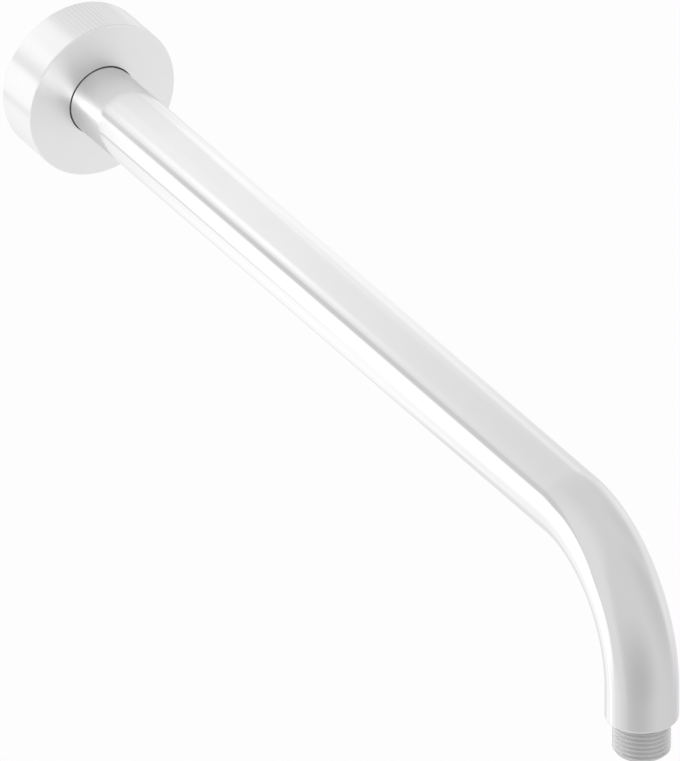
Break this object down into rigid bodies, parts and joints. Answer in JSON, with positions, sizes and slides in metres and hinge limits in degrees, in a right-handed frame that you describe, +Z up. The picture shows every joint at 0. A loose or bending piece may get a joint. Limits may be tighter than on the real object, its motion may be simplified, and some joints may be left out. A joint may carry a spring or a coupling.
{
  "type": "shower arm",
  "caption": "Wall-mounted shower arm: polished round tube with a downward bend, male-threaded ends and a round wall flange that slides and turns on the tube.",
  "frame": {"origin": "point of the arm's axis in the wall plane, on the inlet thread's axis", "axes": "+Z up, +Y into the wall along the inlet thread, the arm runs along -Y and its outlet points along -Z"},
  "size_m": [0.06, 0.4342, 0.105],
  "materials": {
    "tube_chrome": "polished chrome plate on brass",
    "thread_chrome": "chrome plate on turned brass",
    "flange_chrome": "polished chrome plate on turned brass",
    "ring_rubber": "matte moulded rubber"
  },
  "bodies": {
    "arm": {"arm_tube": "tube_chrome", "inlet_nipple": "thread_chrome", "outlet_nipple": "thread_chrome"},
    "grip_ring": {"flange_o_ring": "ring_rubber"},
    "cover": {"flange": "flange_chrome"}
  },
  "joints": [
    {"name": "flange_slide", "type": "slide", "parent": "arm", "child": "grip_ring", "axis": [0, -1, 0], "range_m": [0, 0.33]},
    {"name": "flange_turn", "type": "hinge", "parent": "grip_ring", "child": "cover", "pos_m": [0, -0.0165, 0], "axis": [0, 1, 0], "continuous": true}
  ]
}
